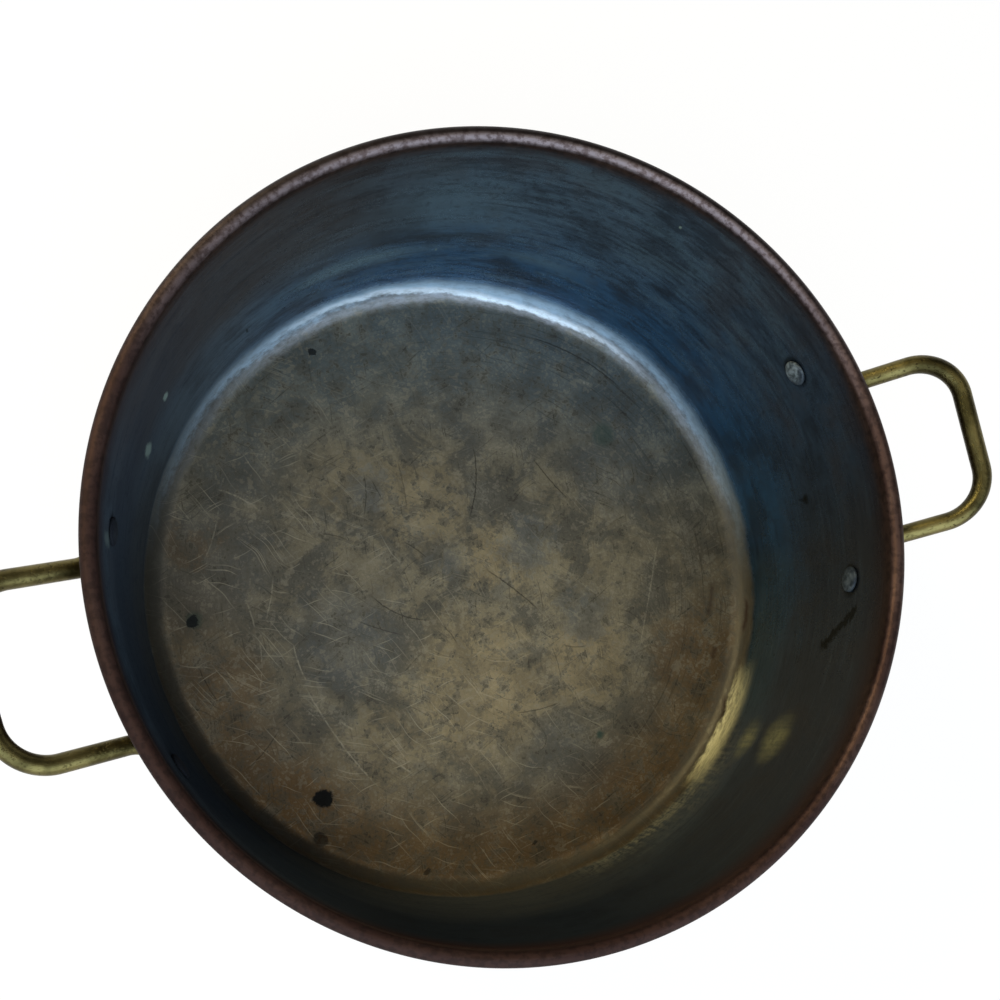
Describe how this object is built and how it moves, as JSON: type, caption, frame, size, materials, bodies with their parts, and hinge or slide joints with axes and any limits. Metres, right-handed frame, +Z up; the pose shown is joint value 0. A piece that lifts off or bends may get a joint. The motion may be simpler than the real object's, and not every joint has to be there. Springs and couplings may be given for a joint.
{
  "type": "copper casserole",
  "caption": "Round flat-bottomed copper pan with an upright wall, a wired rim and riveted brass loop handles, open at the top.",
  "frame": {"origin": "middle of the flat base, on the surface that the pan stands on", "axes": "+Z up along the pan's axis, +X along both handles, +Y across"},
  "size_m": [0.38, 0.3, 0.1335],
  "materials": {
    "pan_copper": "copper, tarnished; tinned and darkened inside",
    "wire_iron": "plain drawn iron wire, hidden in the rim",
    "handle_brass": "drawn brass rod, aged, hand polished by use",
    "rivet_copper": "copper, tinned, dull"
  },
  "bodies": {
    "root": {"pan_body": "pan_copper", "rim_wire": "wire_iron", "handle_right": "handle_brass", "handle_left": "handle_brass", "rivet_right_a": "rivet_copper", "rivet_right_b": "rivet_copper", "rivet_left_a": "rivet_copper", "rivet_left_b": "rivet_copper"}
  },
  "joints": []
}
